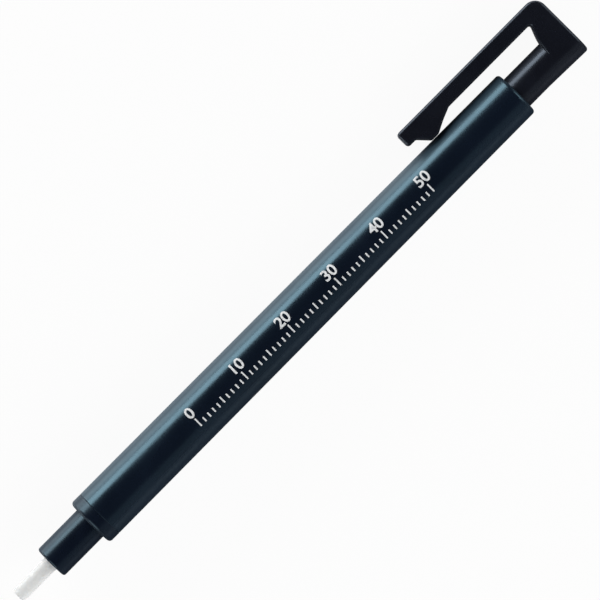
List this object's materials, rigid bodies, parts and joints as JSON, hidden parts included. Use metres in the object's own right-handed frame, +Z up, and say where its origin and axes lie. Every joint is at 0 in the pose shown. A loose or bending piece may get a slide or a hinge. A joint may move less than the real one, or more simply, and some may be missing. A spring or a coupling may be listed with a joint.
{
  "type": "pencil eraser stick",
  "caption": "Slim click holder feeding a round white eraser stick from a narrow nose, with a push button and pocket clip moulded in one piece.",
  "frame": {"origin": "on the barrel's axis, in the shoulder plane where the narrow nose meets the collar", "axes": "+X along the barrel towards the button, clip towards +Y and leaning 10 degrees down, +Z up with the holder lying on its barrel and the edge of its clip"},
  "size_m": [0.12, 0.013, 0.0084],
  "materials": {
    "barrel": "satin moulded dark navy plastic",
    "nose": "satin dark plastic",
    "clip_button": "satin moulded black plastic",
    "eraser_stick": "matte white eraser",
    "friction_ring": "matte black rubber",
    "chuck": "natural acetal plastic",
    "clutch_ring": "turned brass",
    "spring_sleeve": "matte black plastic",
    "return_spring": "drawn steel wire",
    "coupler": "natural plastic",
    "inner_tube": "translucent natural plastic"
  },
  "bodies": {
    "holder": {"barrel": "barrel", "nose": "nose", "friction_ring": "friction_ring", "spring_sleeve": "spring_sleeve", "return_spring": "return_spring"},
    "feed": {"chuck": "chuck", "coupler": "coupler", "inner_tube": "inner_tube"},
    "button": {"clip_button": "clip_button"},
    "clutch": {"clutch_ring": "clutch_ring"},
    "stick": {"eraser_stick": "eraser_stick"}
  },
  "joints": [
    {"name": "button_press", "type": "slide", "parent": "holder", "child": "feed", "axis": [-1, 0, 0], "range_m": [0, 0.0035], "stiffness_N_per_m": 400, "springref_m": -0.003, "deforming": ["return_spring"]},
    {"name": "clip_turn", "type": "hinge", "parent": "feed", "child": "button", "pos_m": [0.09, 0, 0], "axis": [1, 0, 0], "continuous": true},
    {"name": "clutch_slide", "type": "slide", "parent": "holder", "child": "clutch", "axis": [-1, 0, 0], "range_m": [0, 0.0012]},
    {"name": "eraser_feed", "type": "slide", "parent": "holder", "child": "stick", "axis": [-1, 0, 0], "range_m": [-0.0071, 0.069]}
  ],
  "couplings": [
    {"joint": "clutch_slide", "follows": "button_press", "ratio": 0.34}
  ]
}
